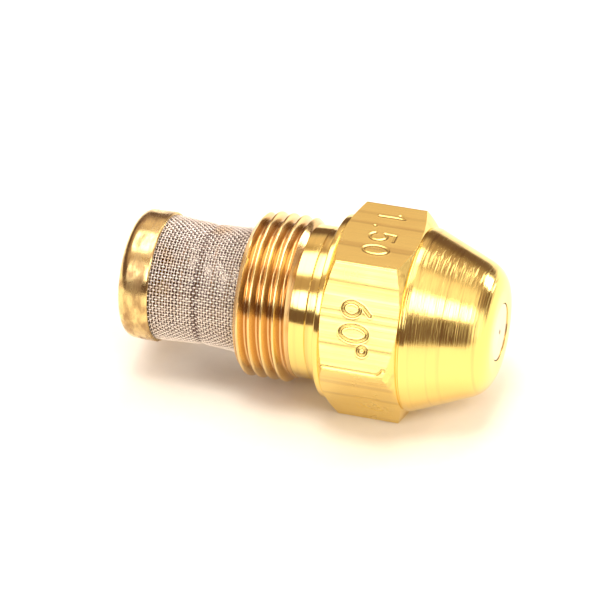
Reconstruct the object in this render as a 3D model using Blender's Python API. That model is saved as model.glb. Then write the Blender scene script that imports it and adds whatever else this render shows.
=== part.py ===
"""Oil burner nozzle, modelled as the separate pieces that it comes apart into.

Lengths are metres. +X runs along the nozzle's axis to the nose and +Z is up. The origin is the
middle of the bottom hexagon flat, which the nozzle lies on, so the axis is half a hexagon above it.
"""

from math import ceil, cos, pi, radians, sin, tan

import bmesh
import bpy
from mathutils import Matrix, Vector

MM = 0.001
INCH = 25.4 * MM

# Driving dimensions: the outside of the body.
HEX_ACROSS_FLATS = 5 / 8 * INCH
HEX_LENGTH = 6.70 * MM
HEX_CHAMFER_ANGLE = radians(30)
COLLAR_LENGTH = 0.53 * MM
NECK_RADIUS = 6.60 * MM
NECK_LENGTH = 2.47 * MM
THREAD_RADIUS = 9 / 32 * INCH
THREAD_PITCH = INCH / 24
THREAD_LENGTH = 4.90 * MM
NOSE_LENGTH = 6.95 * MM
NOSE_BASE_LAND = 0.25 * MM
NOSE_HALF_ANGLE = radians(22.4)
NOSE_ROUNDING = 2.60 * MM
EDGE_BREAK = 0.15 * MM

# Driving dimensions: the bores, from the nose backwards.
TIP_RADIUS = 2.44 * MM
TIP_LAND = 1.90 * MM
CAVITY_RADIUS = 3.50 * MM
SCREW_RADIUS = 5 / 32 * INCH
SCREW_PITCH = INCH / 32
STRAINER_BORE_DEPTH = 5.75 * MM

# Driving dimensions: the pieces inside.
DISC_FLANGE = 2.35 * MM
ORIFICE_RADIUS = 0.20 * MM
SWIRL_CHAMBER_RADIUS = 0.80 * MM
SEAT_ANGLE = radians(45)
DISTRIBUTOR_HEAD_RADIUS = 2.70 * MM
DISTRIBUTOR_HEAD = 1.40 * MM
DISTRIBUTOR_STEM_RADIUS = 2.00 * MM
DISTRIBUTOR_STEM = 0.90 * MM
SWIRL_SLOTS = 4
SWIRL_SLOT_WIDTH = 0.35 * MM
SCREW_LENGTH = 8.20 * MM
SCREW_RELIEF = 2.10 * MM
SCREW_RELIEF_DEPTH = 0.75 * MM
OIL_WAY_RADIUS = 1.40 * MM
OIL_WAY_WEB = 0.80 * MM
OIL_PORTS = 4
OIL_PORT_RADIUS = 0.55 * MM
DRIVER_SLOT_WIDTH = 1.20 * MM
DRIVER_SLOT_DEPTH = 1.50 * MM

# Driving dimensions: the strainer.
MESH_RADIUS = 5.40 * MM
MESH_WALL = 0.25 * MM
MESH_EXPOSED = 8.00 * MM
MESH_IN_BODY = 2.00 * MM
MESH_IN_CAP = 1.30 * MM
FERRULE_SKIRT = 1.20 * MM
FERRULE_WALL = 0.80 * MM
CAP_LENGTH = 2.85 * MM
CAP_WALL = 0.22 * MM
CAP_ROUNDING = 1.00 * MM
COIL_WIRE_RADIUS = 0.22 * MM
COIL_TURNS = 3.5

# Clearances: fixed pieces, pieces that slide or turn, end gaps, the cloth in its bore, and the
# round parts of the body inside the hexagon's flats.
FIXED_GAP = 0.03 * MM
RUNNING_GAP = 0.05 * MM
END_GAP = 0.05 * MM
CLOTH_GAP = 0.20 * MM
HEX_CLEAR = 0.04 * MM

SEGMENTS = 48
ARC_STEPS = 4
SHARP_ANGLE = radians(35)
MERGE = 0.000001
# A 60 degree thread: the external depth, and the flat at each crest, as shares of the pitch.
THREAD_DEPTH = 0.6134
THREAD_CREST = 1 / 8

# Places along the axis that several pieces share.
AXIS_HEIGHT = HEX_ACROSS_FLATS / 2
ROUND_RADIUS = AXIS_HEIGHT - HEX_CLEAR
HEX_FRONT = HEX_LENGTH / 2
HEX_REAR = -HEX_FRONT
NOSE_FRONT = HEX_FRONT + NOSE_LENGTH
COLLAR_REAR = HEX_REAR - COLLAR_LENGTH
NECK_REAR = COLLAR_REAR - NECK_LENGTH
BODY_REAR = NECK_REAR - THREAD_LENGTH
STRAINER_BORE_RADIUS = MESH_RADIUS + CLOTH_GAP
TIP_SHOULDER = NOSE_FRONT - TIP_LAND
DISC_REAR = TIP_SHOULDER - END_GAP - DISC_FLANGE
STRAINER_SHOULDER = BODY_REAR + STRAINER_BORE_DEPTH
SEAT_REAR_RADIUS = DISTRIBUTOR_HEAD_RADIUS + FIXED_GAP
SEAT_FRONT = DISC_REAR + (SEAT_REAR_RADIUS - SWIRL_CHAMBER_RADIUS) / tan(SEAT_ANGLE)
DISTRIBUTOR_REAR = DISC_REAR - DISTRIBUTOR_HEAD - DISTRIBUTOR_STEM
SCREW_FRONT = DISTRIBUTOR_REAR - END_GAP
SCREW_REAR = SCREW_FRONT - SCREW_LENGTH
CAVITY_REAR = SCREW_FRONT + END_GAP
MESH_FRONT = BODY_REAR + MESH_IN_BODY
CAP_FRONT = BODY_REAR - MESH_EXPOSED
CAP_REAR = CAP_FRONT - CAP_LENGTH
MESH_REAR = CAP_FRONT - MESH_IN_CAP


def clear_scene():
    """Removes every object, so that the script gives the same scene each time."""
    for old in list(bpy.data.objects):
        bpy.data.objects.remove(old, do_unlink=True)


def make_material(name, colour, roughness, metallic=1.0):
    """A plain Principled material."""
    material = bpy.data.materials.new(name)
    material.use_nodes = True
    shader = material.node_tree.nodes["Principled BSDF"]
    shader.inputs["Base Color"].default_value = (*colour, 1.0)
    shader.inputs["Roughness"].default_value = roughness
    shader.inputs["Metallic"].default_value = metallic
    return material


def make_empty(name, parent=None, place=(0, 0, 0)):
    """An empty that carries pieces which move together."""
    empty = bpy.data.objects.new(name, None)
    empty.empty_display_size = 5 * MM
    empty.location = place
    empty.parent = parent
    bpy.context.collection.objects.link(empty)
    return empty


def make_object(name, bm, material, parent):
    """Turns a bmesh into a smooth-shaded object, with its origin on the nozzle's axis."""
    bmesh.ops.remove_doubles(bm, verts=bm.verts, dist=MERGE)
    bmesh.ops.recalc_face_normals(bm, faces=bm.faces)
    mesh = bpy.data.meshes.new(name)
    bm.to_mesh(mesh)
    bm.free()
    mesh.shade_smooth()
    mesh.set_sharp_from_angle(angle=SHARP_ANGLE)
    if material:
        mesh.materials.append(material)
    piece = bpy.data.objects.new(name, mesh)
    piece.parent = parent
    bpy.context.collection.objects.link(piece)
    return piece


def on_circle(x, radius, turn):
    """A point at an angle round the axis, where turn is a share of a full turn."""
    return Vector((x, radius * cos(2 * pi * turn), radius * sin(2 * pi * turn)))


def rounded(before, corner, after, radius, steps=ARC_STEPS):
    """The points of an arc that rounds the corner of an outline of (x, radius) points."""
    before, corner, after = Vector(before), Vector(corner), Vector(after)
    back = (before - corner).normalized()
    ahead = (after - corner).normalized()
    half = back.angle(ahead) / 2
    centre = corner + (back + ahead).normalized() * radius / sin(half)
    start = corner + back * radius / tan(half) - centre
    sweep = start.angle_signed(corner + ahead * radius / tan(half) - centre)
    turns = [Matrix.Rotation(-sweep * i / steps, 2) for i in range(steps + 1)]
    return [tuple(centre + turn @ start) for turn in turns]


def lathe(bm, outline, closed=True):
    """Turns an outline of (x, radius) points about the axis. A radius of 0 makes a pole."""
    rings = []
    for x, radius in outline:
        if radius == 0:
            rings.append([bm.verts.new((x, 0, 0))] * SEGMENTS)
            continue
        points = [on_circle(x, radius, i / SEGMENTS) for i in range(SEGMENTS)]
        rings.append([bm.verts.new(point) for point in points])
    following = rings[1:] + rings[:1] if closed else rings[1:]
    for ring, other in zip(rings, following):
        for i in range(SEGMENTS):
            j = (i + 1) % SEGMENTS
            corners = list(dict.fromkeys((ring[i], ring[j], other[j], other[i])))
            if len(corners) > 2:
                bm.faces.new(corners)


def turned(name, outline, material, parent):
    """A piece made from one closed outline."""
    bm = bmesh.new()
    lathe(bm, outline)
    return make_object(name, bm, material, parent)


def thread_skin(bm, rear, front, crest_radius, pitch):
    """A right-hand thread between two rings at its root radius, with 45 degree lead chamfers."""
    root_radius = crest_radius - THREAD_DEPTH * pitch
    crest = THREAD_CREST * pitch
    flank = THREAD_DEPTH * pitch * tan(radians(30))
    stations = (
        (0, crest_radius),
        (crest, crest_radius),
        (crest + flank, root_radius),
        (pitch - flank, root_radius),
    )
    columns = []
    for i in range(SEGMENTS + 1):
        column = []
        for turn in range(-1, ceil((front - rear) / pitch) + 1):
            for offset, radius in stations:
                x = rear + (turn + i / SEGMENTS) * pitch + offset
                x = min(max(x, rear), front)
                radius = min(radius, root_radius + min(x - rear, front - x))
                column.append(bm.verts.new(on_circle(x, radius, i / SEGMENTS)))
        columns.append(column)
    for column, other in zip(columns, columns[1:]):
        for k in range(len(column) - 1):
            bm.faces.new((column[k], column[k + 1], other[k + 1], other[k]))
    return root_radius


def mill_flats(bm, distance, count=6):
    """Cuts flats at one distance from the axis. The first looks up."""
    for i in range(count):
        normal = on_circle(0, 1, 1 / 4 + i / count)
        everything = bm.verts[:] + bm.edges[:] + bm.faces[:]
        cut = bmesh.ops.bisect_plane(
            bm, geom=everything, plane_co=normal * distance, plane_no=normal, clear_outer=True
        )
        edges = [item for item in cut["geom_cut"] if isinstance(item, bmesh.types.BMEdge)]
        bmesh.ops.edgenet_fill(bm, edges=edges)


def body_outline(thread_root):
    """The body's outline from the thread's front end, round the nose and back down the bores."""
    blank_radius = AXIS_HEIGHT / cos(pi / 6) + HEX_CLEAR
    chamfer = (blank_radius - ROUND_RADIUS) * tan(HEX_CHAMFER_ANGLE)
    cone_base = HEX_FRONT + NOSE_BASE_LAND
    nose_edge = ROUND_RADIUS - (NOSE_FRONT - cone_base) * tan(NOSE_HALF_ANGLE)
    front_hole = TIP_RADIUS + FIXED_GAP
    screw_bore = SCREW_RADIUS + RUNNING_GAP
    nose = rounded(
        (cone_base, ROUND_RADIUS), (NOSE_FRONT, nose_edge), (NOSE_FRONT, front_hole), NOSE_ROUNDING
    )
    return [
        (NECK_REAR, thread_root),
        (NECK_REAR, NECK_RADIUS),
        (COLLAR_REAR, NECK_RADIUS),
        (COLLAR_REAR, ROUND_RADIUS - EDGE_BREAK),
        (COLLAR_REAR + EDGE_BREAK, ROUND_RADIUS),
        (HEX_REAR, ROUND_RADIUS),
        (HEX_REAR + chamfer, blank_radius),
        (HEX_FRONT - chamfer, blank_radius),
        (HEX_FRONT, ROUND_RADIUS),
        (cone_base, ROUND_RADIUS),
        *nose,
        (NOSE_FRONT, front_hole),
        (TIP_SHOULDER, front_hole),
        (TIP_SHOULDER, CAVITY_RADIUS),
        (CAVITY_REAR, CAVITY_RADIUS),
        (CAVITY_REAR, screw_bore),
        (STRAINER_SHOULDER, screw_bore),
        (STRAINER_SHOULDER, STRAINER_BORE_RADIUS),
        (BODY_REAR, STRAINER_BORE_RADIUS),
        (BODY_REAR, thread_root),
    ]


def make_body(material, parent):
    """The hexagon body with its nose, its external thread and its bores."""
    bm = bmesh.new()
    thread_root = thread_skin(bm, BODY_REAR, NECK_REAR, THREAD_RADIUS, THREAD_PITCH)
    lathe(bm, body_outline(thread_root), closed=False)
    bmesh.ops.remove_doubles(bm, verts=bm.verts, dist=MERGE)
    bmesh.ops.recalc_face_normals(bm, faces=bm.faces)
    mill_flats(bm, AXIS_HEIGHT)
    return make_object("nozzle_body", bm, material, parent)


def make_disc(material, parent):
    """The orifice disc, whose tip shows in the nose, with the seat and the swirl chamber behind."""
    throat = NOSE_FRONT - END_GAP - ORIFICE_RADIUS
    flange_radius = CAVITY_RADIUS - RUNNING_GAP
    outline = [
        (DISC_REAR, SEAT_REAR_RADIUS),
        (DISC_REAR, flange_radius),
        (TIP_SHOULDER - END_GAP, flange_radius),
        (TIP_SHOULDER - END_GAP, TIP_RADIUS),
        (NOSE_FRONT - END_GAP, TIP_RADIUS),
        (NOSE_FRONT - END_GAP, 2 * ORIFICE_RADIUS),
        (throat, ORIFICE_RADIUS),
        (throat - ORIFICE_RADIUS, ORIFICE_RADIUS),
        (SEAT_FRONT, SWIRL_CHAMBER_RADIUS),
    ]
    return turned("orifice_disc", outline, material, parent)


def make_cutter(name, bm, parent):
    """A hidden solid that a Boolean takes away."""
    cutter = make_object(name, bm, None, parent)
    cutter.hide_render = True
    cutter.display_type = "WIRE"
    return cutter


def cut_away(piece, cutter):
    """Takes a cutter's shape out of a piece."""
    boolean = piece.modifiers.new(cutter.name, "BOOLEAN")
    boolean.operation = "DIFFERENCE"
    boolean.solver = "EXACT"
    boolean.object = cutter


def add_box(bm, size, matrix):
    """A box of a size, placed by a matrix."""
    bmesh.ops.create_cube(bm, size=1, matrix=matrix @ Matrix.Diagonal((*size, 1)))


def add_rod(bm, radius, length, matrix):
    """A rod along the matrix's own Z axis."""
    bmesh.ops.create_cone(
        bm, cap_ends=True, segments=16, radius1=radius, radius2=radius, depth=length, matrix=matrix
    )


def round_axis(turn):
    """A turn about the nozzle's axis, as a share of a full turn."""
    return Matrix.Rotation(2 * pi * turn, 4, "X")


def make_distributor(material, parent):
    """The swirl distributor: a cone with tangential slots, which seats in the orifice disc."""
    cone_front = SEAT_FRONT - END_GAP
    cone_tip = SWIRL_CHAMBER_RADIUS - FIXED_GAP
    outline = [
        (DISTRIBUTOR_REAR, 0),
        (DISTRIBUTOR_REAR, DISTRIBUTOR_STEM_RADIUS),
        (DISTRIBUTOR_REAR + DISTRIBUTOR_STEM, DISTRIBUTOR_STEM_RADIUS),
        (DISTRIBUTOR_REAR + DISTRIBUTOR_STEM, DISTRIBUTOR_HEAD_RADIUS),
        (DISC_REAR - END_GAP, DISTRIBUTOR_HEAD_RADIUS),
        (cone_front, cone_tip),
        (cone_front, 0),
    ]
    piece = turned("swirl_distributor", outline, material, parent)
    bm = bmesh.new()
    slant = (DISTRIBUTOR_HEAD_RADIUS - cone_tip) / sin(SEAT_ANGLE)
    middle_radius = (DISTRIBUTOR_HEAD_RADIUS + cone_tip) / 2
    place = Matrix.Translation(
        ((cone_front + DISC_REAR - END_GAP) / 2, SWIRL_CHAMBER_RADIUS / 2, middle_radius)
    ) @ Matrix.Rotation(SEAT_ANGLE, 4, "Y")
    for i in range(SWIRL_SLOTS):
        size = (slant + 2 * SWIRL_SLOT_WIDTH, SWIRL_SLOT_WIDTH, 2 * SWIRL_SLOT_WIDTH)
        add_box(bm, size, round_axis(i / SWIRL_SLOTS) @ place)
    cut_away(piece, make_cutter("swirl_slot_cutter", bm, parent))
    return piece


def make_screw(material, parent):
    """The retainer screw, with its oil way, cross ports and driver slot."""
    relief_radius = SCREW_RADIUS - SCREW_RELIEF_DEPTH
    relief_rear = SCREW_FRONT - SCREW_RELIEF
    way_front = SCREW_FRONT - OIL_WAY_WEB
    outline = [
        (SCREW_FRONT, 0),
        (SCREW_FRONT, relief_radius),
        (relief_rear, relief_radius),
        (relief_rear - EDGE_BREAK, SCREW_RADIUS),
        (SCREW_REAR + EDGE_BREAK, SCREW_RADIUS),
        (SCREW_REAR, SCREW_RADIUS - EDGE_BREAK),
        (SCREW_REAR, OIL_WAY_RADIUS),
        (way_front, OIL_WAY_RADIUS),
        (way_front, 0),
    ]
    piece = turned("retainer_screw", outline, material, parent)
    bm = bmesh.new()
    # Each port starts inside the oil way, short of the port across from it.
    middle = (OIL_WAY_RADIUS / 2 + SCREW_RADIUS) / 2
    port_place = Matrix.Translation(((relief_rear + way_front) / 2, 0, middle))
    length = SCREW_RADIUS - OIL_WAY_RADIUS / 2
    for i in range(OIL_PORTS):
        add_rod(bm, OIL_PORT_RADIUS, length, round_axis(i / OIL_PORTS) @ port_place)
    cut_away(piece, make_cutter("oil_port_cutter", bm, parent))
    bm = bmesh.new()
    size = (2 * DRIVER_SLOT_DEPTH, 3 * SCREW_RADIUS, DRIVER_SLOT_WIDTH)
    add_box(bm, size, Matrix.Translation((SCREW_REAR, 0, 0)))
    cut_away(piece, make_cutter("driver_slot_cutter", bm, parent))
    return piece


def make_ferrule(material, parent):
    """The strainer's ferrule, a push fit in the body, with a skirt inside the wire cloth."""
    outer = STRAINER_BORE_RADIUS - RUNNING_GAP
    skirt = MESH_RADIUS - MESH_WALL - FIXED_GAP
    inner = skirt - FERRULE_WALL
    front = STRAINER_SHOULDER - END_GAP
    shoulder = MESH_FRONT + END_GAP
    outline = [
        (MESH_FRONT - FERRULE_SKIRT, inner),
        (MESH_FRONT - FERRULE_SKIRT, skirt),
        (shoulder, skirt),
        (shoulder, outer),
        (front - EDGE_BREAK, outer),
        (front, outer - EDGE_BREAK),
        (front, inner),
    ]
    return turned("strainer_ferrule", outline, material, parent)


def make_mesh_sleeve(material, parent):
    """The wire-cloth sleeve, as a plain tube of the cloth's thickness."""
    inner = MESH_RADIUS - MESH_WALL
    outline = [
        (MESH_REAR, inner),
        (MESH_REAR, MESH_RADIUS),
        (MESH_FRONT, MESH_RADIUS),
        (MESH_FRONT, inner),
    ]
    return turned("strainer_mesh", outline, material, parent)


def make_cap(material, parent):
    """The drawn cup that closes the strainer."""
    inner = MESH_RADIUS + FIXED_GAP
    outer = inner + CAP_WALL
    floor = CAP_REAR + CAP_WALL
    outside = rounded((CAP_REAR, 0), (CAP_REAR, outer), (CAP_FRONT, outer), CAP_ROUNDING)
    inside = rounded((CAP_FRONT, inner), (floor, inner), (floor, 0), CAP_ROUNDING - CAP_WALL)
    outline = [(CAP_REAR, 0), *outside, (CAP_FRONT, outer), (CAP_FRONT, inner), *inside, (floor, 0)]
    return turned("strainer_end_cap", outline, material, parent)


def make_coil(material, parent):
    """The wire coil that keeps the cloth from closing in, from the ferrule's skirt to the cap."""
    curve = bpy.data.curves.new("strainer_support_coil", "CURVE")
    curve.dimensions = "3D"
    curve.bevel_depth = COIL_WIRE_RADIUS
    curve.bevel_resolution = 1
    curve.use_fill_caps = True
    clear = COIL_WIRE_RADIUS + END_GAP
    front = MESH_FRONT - FERRULE_SKIRT - clear
    rear = CAP_REAR + CAP_WALL + CAP_ROUNDING + clear
    radius = MESH_RADIUS - MESH_WALL - clear
    steps = round(COIL_TURNS * SEGMENTS / 2)
    spline = curve.splines.new("POLY")
    spline.points.add(steps)
    for i, point in enumerate(spline.points):
        share = i / steps
        place = on_circle(rear + (front - rear) * share, radius, COIL_TURNS * share)
        point.co = (*place, 1)
    curve.materials.append(material)
    piece = bpy.data.objects.new("strainer_support_coil", curve)
    piece.parent = parent
    bpy.context.collection.objects.link(piece)
    return piece


def main():
    clear_scene()
    brass = make_material("turned_brass", (0.83, 0.62, 0.22), 0.22)
    plug_brass = make_material("screw_brass", (0.78, 0.58, 0.24), 0.32)
    cap_brass = make_material("drawn_brass", (0.62, 0.44, 0.18), 0.38)
    cloth = make_material("wire_cloth", (0.50, 0.42, 0.36), 0.50)
    bronze = make_material("bronze_wire", (0.60, 0.40, 0.24), 0.35)
    stainless = make_material("stainless", (0.62, 0.61, 0.60), 0.25)

    axis = make_empty("nozzle_axis", place=(0, 0, AXIS_HEIGHT))
    make_body(brass, axis)
    make_disc(stainless, axis)
    distributor_slide = make_empty("distributor_slide", axis)
    make_distributor(stainless, distributor_slide)
    make_screw(plug_brass, make_empty("retainer_turn", distributor_slide))
    strainer_pull = make_empty("strainer_pull", axis)
    make_ferrule(plug_brass, strainer_pull)
    make_mesh_sleeve(cloth, strainer_pull)
    make_coil(bronze, strainer_pull)
    make_cap(cap_brass, strainer_pull)


main()
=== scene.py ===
"""Looks of an oil burner nozzle: a brass body with a wire cloth strainer, on a pale studio floor.

Shapes are worked out in millimetres about the nozzle's own axis, and are turned into metres in the
CAD frame when a mesh is made. +X runs to the nose, and the body lies on its bottom hexagon flat.
"""

import logging
import math
from collections.abc import Sequence
from dataclasses import dataclass, field
from enum import Enum

import bmesh
import bpy
import numpy as np
from mathutils import Matrix, Vector


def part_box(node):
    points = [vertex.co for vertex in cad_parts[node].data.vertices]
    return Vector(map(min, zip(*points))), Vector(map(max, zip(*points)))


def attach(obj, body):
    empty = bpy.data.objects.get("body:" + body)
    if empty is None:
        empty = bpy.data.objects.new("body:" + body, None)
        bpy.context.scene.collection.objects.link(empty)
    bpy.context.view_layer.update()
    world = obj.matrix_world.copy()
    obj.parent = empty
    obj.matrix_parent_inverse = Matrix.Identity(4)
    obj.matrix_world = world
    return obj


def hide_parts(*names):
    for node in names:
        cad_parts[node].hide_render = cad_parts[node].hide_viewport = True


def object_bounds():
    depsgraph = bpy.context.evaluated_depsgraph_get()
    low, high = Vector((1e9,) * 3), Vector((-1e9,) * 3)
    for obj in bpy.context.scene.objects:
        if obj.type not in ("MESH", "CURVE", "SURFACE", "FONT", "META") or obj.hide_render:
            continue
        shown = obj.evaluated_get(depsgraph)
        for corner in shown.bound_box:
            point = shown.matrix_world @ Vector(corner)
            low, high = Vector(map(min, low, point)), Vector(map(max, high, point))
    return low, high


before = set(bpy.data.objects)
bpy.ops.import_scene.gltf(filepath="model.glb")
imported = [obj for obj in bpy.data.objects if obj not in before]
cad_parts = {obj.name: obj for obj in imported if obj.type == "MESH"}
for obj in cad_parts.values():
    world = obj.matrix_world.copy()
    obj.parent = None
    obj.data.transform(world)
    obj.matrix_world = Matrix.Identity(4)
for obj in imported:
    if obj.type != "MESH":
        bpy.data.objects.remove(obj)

CAD_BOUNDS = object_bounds()
MM = 0.001
INCH = 25.4
TAU = 2 * math.pi
# Points closer than this, in metres, are welded into one.
MERGE = 2e-7
# A closed end stops this far from the axis, in millimetres.
AXIS_HOLE = 0.001
# A corner of an outline that is this near to straight, in radians, is not rounded.
STRAIGHT = 0.01
# A V-shaped thread's depth, as a share of its pitch.
THREAD_DEPTH = 0.6134
LOG = logging.getLogger("nozzle")

Colour = tuple[float, float, float]
Point = tuple[float, float]
Reach = tuple[float, float]
Corner = tuple[float, float, float]


@dataclass(frozen=True)
class Span:
    """Where a CAD node lies along the axis, and its outer radius, in millimetres."""

    rear: float
    front: float
    radius: float

    @classmethod
    def of(cls, node: str) -> "Span":
        """Reads a node's box from the frame.

        Args:
            node: the CAD node's name.

        Returns:
            Its reach along X and half its height.
        """
        low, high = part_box(node)
        return cls(low.x / MM, high.x / MM, (high.z - low.z) / 2 / MM)


BODY = Span.of("nozzle_body")
AXIS_HEIGHT = BODY.radius


# ---------------------------------------------------------------- meshes


def soften(corners: Sequence[Corner], steps: int = 4) -> list[Point]:
    """Rounds the corners of an outline.

    Args:
        corners: (x, radius, rounding) of each corner; the first and last are left as they are.
        steps: the number of straight pieces in each rounding.

    Returns:
        The outline's (x, radius) points.
    """
    points = [corners[0][:2]]
    for before, corner, after in zip(corners, corners[1:], corners[2:]):
        middle = Vector(corner[:2])
        back = (Vector(before[:2]) - middle).normalized()
        ahead = (Vector(after[:2]) - middle).normalized()
        half = back.angle(ahead) / 2
        if corner[2] == 0 or half > math.pi / 2 - STRAIGHT:
            points.append(corner[:2])
            continue
        centre = middle + (back + ahead).normalized() * corner[2] / math.sin(half)
        start = middle + back * corner[2] / math.tan(half) - centre
        end = middle + ahead * corner[2] / math.tan(half) - centre
        sweep = start.angle_signed(end)
        turns = [Matrix.Rotation(-sweep * i / steps, 2) for i in range(steps + 1)]
        points += [tuple(centre + turn @ start) for turn in turns]
    points.append(corners[-1][:2])
    return points


def round_axis(x: np.ndarray, radius: np.ndarray, angle: np.ndarray) -> np.ndarray:
    """Points at places along the axis, at radii from it and angles round it."""
    return np.stack(np.broadcast_arrays(x, radius * np.cos(angle), radius * np.sin(angle)), axis=-1)


def turn(outline: Sequence[Point], segments: int) -> np.ndarray:
    """Turns an outline about the axis.

    Args:
        outline: (x, radius) points.
        segments: the number of columns round the axis.

    Returns:
        A grid of points, one row for each outline point.
    """
    x, radius = np.array(outline, float).T
    return round_axis(x[:, None], radius[:, None], np.arange(segments) * TAU / segments)


class Skin:
    """Gathers grids of points into one mesh, in millimetres about the axis."""

    def __init__(self) -> None:
        """Starts with no points."""
        self.points: list[np.ndarray] = []
        self.faces: list[np.ndarray] = []
        self.finishes: list[np.ndarray] = []
        self.count = 0

    def add(self, grid: np.ndarray, closed: tuple[bool, bool] = (False, True), finish: int = 0) -> None:
        """Adds a grid of quads.

        Args:
            grid: points as (rows, columns, 3).
            closed: whether the rows and the columns join up end to end.
            finish: which of the object's materials it takes.
        """
        rows, columns = grid.shape[:2]
        index = np.arange(rows * columns).reshape(rows, columns) + self.count
        if closed[0]:
            index = np.vstack([index, index[:1]])
        if closed[1]:
            index = np.hstack([index, index[:, :1]])
        quads = np.stack([index[:-1, :-1], index[:-1, 1:], index[1:, 1:], index[1:, :-1]], axis=-1)
        self.points.append(grid.reshape(-1, 3))
        self.faces.append(quads.reshape(-1, 4))
        self.finishes.append(np.full(quads.size // 4, finish))
        self.count += rows * columns

    def mesh(self, name: str) -> bpy.types.Mesh:
        """The gathered mesh, in metres in the CAD frame.

        Args:
            name: the mesh's name.

        Returns:
            The mesh, with its material numbers set.
        """
        points = np.concatenate(self.points) + (0, 0, AXIS_HEIGHT)
        faces = np.concatenate(self.faces)
        mesh = bpy.data.meshes.new(name)
        mesh.vertices.add(len(points))
        mesh.vertices.foreach_set("co", (points * MM).astype(np.float32).ravel())
        mesh.loops.add(faces.size)
        mesh.loops.foreach_set("vertex_index", faces.astype(np.int32).ravel())
        mesh.polygons.add(len(faces))
        mesh.polygons.foreach_set("loop_start", np.arange(0, faces.size, 4, dtype=np.int32))
        mesh.polygons.foreach_set("material_index", np.concatenate(self.finishes).astype(np.int32))
        mesh.update(calc_edges=True)
        return mesh


def weld(mesh: bpy.types.Mesh) -> None:
    """Joins points that meet and turns the faces outwards.

    Args:
        mesh: the mesh to change.
    """
    bm = bmesh.new()
    bm.from_mesh(mesh)
    bmesh.ops.remove_doubles(bm, verts=bm.verts, dist=MERGE)
    bmesh.ops.recalc_face_normals(bm, faces=bm.faces)
    bm.to_mesh(mesh)
    bm.free()


def place(
    mesh: bpy.types.Mesh, materials: Sequence[bpy.types.Material], sharp: float = 32
) -> bpy.types.Object:
    """Makes a smooth-shaded object.

    Args:
        mesh: its mesh, in the CAD frame.
        materials: its materials, in the order of the mesh's material numbers.
        sharp: the angle in degrees above which an edge stays sharp.

    Returns:
        The new object.
    """
    mesh.shade_smooth()
    mesh.set_sharp_from_angle(angle=math.radians(sharp))
    for material in materials:
        mesh.materials.append(material)
    piece = bpy.data.objects.new(mesh.name, mesh)
    bpy.context.scene.collection.objects.link(piece)
    return piece


def solid(
    name: str, grid: np.ndarray, finish: "Finish", effects: "Effects", sharp: float = 32
) -> bpy.types.Object:
    """Makes a welded piece from one grid that goes all the way round.

    Args:
        name: the piece's name.
        grid: its points, in millimetres about the axis.
        finish: its finish.
        effects: the shared node groups.
        sharp: the angle in degrees above which an edge stays sharp.

    Returns:
        The new object.
    """
    skin = Skin()
    skin.add(grid)
    mesh = skin.mesh(name)
    weld(mesh)
    return place(mesh, [finish.material(effects)], sharp)


def settle(piece: bpy.types.Object, body: str, node: str) -> None:
    """Declares a piece: what it moves with and what it stands for.

    Args:
        piece: the piece, in place.
        body: the CAD body it rides on.
        node: the CAD node it replaces.
    """
    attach(piece, body)
    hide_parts(node)
    LOG.info("%s: %d faces, rides on %s", piece.name, len(piece.data.polygons), body)


def tube(path: np.ndarray, radius: float, sides: int) -> np.ndarray:
    """A round tube along a path that runs near the axis's own direction or round it.

    Args:
        path: the path's points.
        radius: the tube's radius.
        sides: the number of sides.

    Returns:
        A grid of points, one row for each path point.
    """
    ahead = np.gradient(path, axis=0)
    ahead /= np.linalg.norm(ahead, axis=1, keepdims=True)
    out = path * (0, 1, 1)
    out /= np.linalg.norm(out, axis=1, keepdims=True)
    side = np.cross(ahead, out)
    side /= np.linalg.norm(side, axis=1, keepdims=True)
    up = np.cross(side, ahead)
    angle = np.arange(sides) * TAU / sides
    return (
        path[:, None]
        + radius * np.cos(angle)[:, None] * up[:, None]
        + radius * np.sin(angle)[:, None] * side[:, None]
    )


def cut_away(piece: bpy.types.Object, cutter: bmesh.types.BMesh, sharp: float = 30) -> None:
    """Takes a solid out of a piece, for good.

    Args:
        piece: the piece to cut.
        cutter: the solid to take away, which is freed.
        sharp: the angle in degrees above which an edge stays sharp.
    """
    mesh = bpy.data.meshes.new("cutter")
    cutter.to_mesh(mesh)
    cutter.free()
    tool = bpy.data.objects.new("cutter", mesh)
    bpy.context.scene.collection.objects.link(tool)
    boolean = piece.modifiers.new("cut", "BOOLEAN")
    boolean.operation = "DIFFERENCE"
    boolean.solver = "EXACT"
    boolean.object = tool
    graph = bpy.context.evaluated_depsgraph_get()
    result = bpy.data.meshes.new_from_object(piece.evaluated_get(graph))
    piece.modifiers.clear()
    old = piece.data
    result.name = old.name
    piece.data = result
    bpy.data.objects.remove(tool)
    bpy.data.meshes.remove(mesh)
    bpy.data.meshes.remove(old)
    result.shade_smooth()
    result.set_sharp_from_angle(angle=math.radians(sharp))


def about_axis(share: float) -> Matrix:
    """A turn about the nozzle's axis, as a share of a full turn."""
    centre = Matrix.Translation((0, 0, AXIS_HEIGHT * MM))
    return centre @ Matrix.Rotation(TAU * share, 4, "X")


# ---------------------------------------------------------------- shaders


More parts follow.
